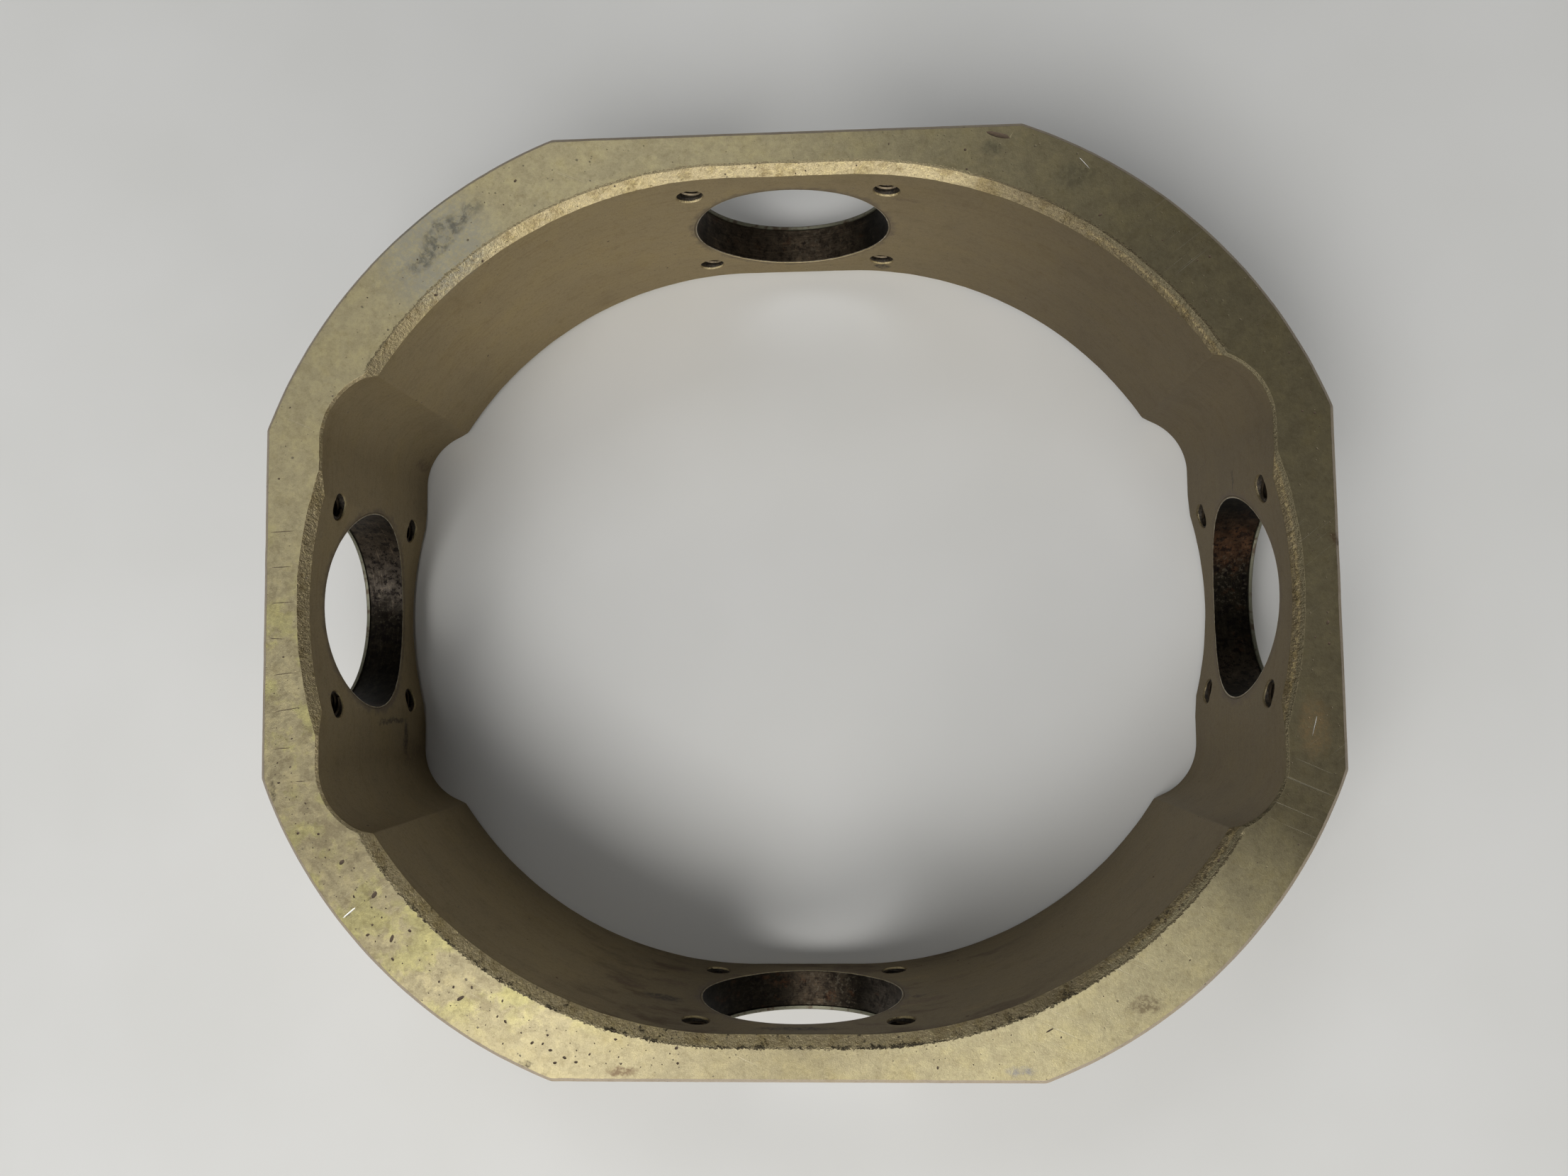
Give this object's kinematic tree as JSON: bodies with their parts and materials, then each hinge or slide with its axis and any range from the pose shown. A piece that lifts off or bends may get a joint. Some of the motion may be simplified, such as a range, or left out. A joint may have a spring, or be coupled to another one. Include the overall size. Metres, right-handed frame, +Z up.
{
  "type": "gimbal ring",
  "caption": "Machined aluminium gimbal ring with outer flats, a straight-sided round opening, side pockets, crossing sleeved bores and wire thread inserts.",
  "frame": {"origin": "crossing point of the two bore axes, at mid-height of the ring", "axes": "+X along the left-right bore axis to the right flat, +Y along the front-back bore axis to the back flat, +Z up, normal to the ring's flat face"},
  "size_m": [0.254, 0.2246, 0.073],
  "materials": {
    "chromated_ring": "yellow-green chromate film over machined aluminium, matte walls, worn and stained faces",
    "sleeve_steel": "bare steel under a dark brown film with rust tints, bright end rim",
    "insert_wire": "drawn stainless wire, slightly dirty"
  },
  "bodies": {
    "root": {"gimbal_ring": "chromated_ring", "bore_sleeve_left": "sleeve_steel", "bore_sleeve_right": "sleeve_steel", "bore_sleeve_front": "sleeve_steel", "bore_sleeve_back": "sleeve_steel", "thread_insert_left_1": "insert_wire", "thread_insert_left_2": "insert_wire", "thread_insert_left_3": "insert_wire", "thread_insert_left_4": "insert_wire", "thread_insert_right_1": "insert_wire", "thread_insert_right_2": "insert_wire", "thread_insert_right_3": "insert_wire", "thread_insert_right_4": "insert_wire", "thread_insert_front_1": "insert_wire", "thread_insert_front_2": "insert_wire", "thread_insert_front_3": "insert_wire", "thread_insert_front_4": "insert_wire", "thread_insert_back_1": "insert_wire", "thread_insert_back_2": "insert_wire", "thread_insert_back_3": "insert_wire", "thread_insert_back_4": "insert_wire"}
  },
  "joints": []
}
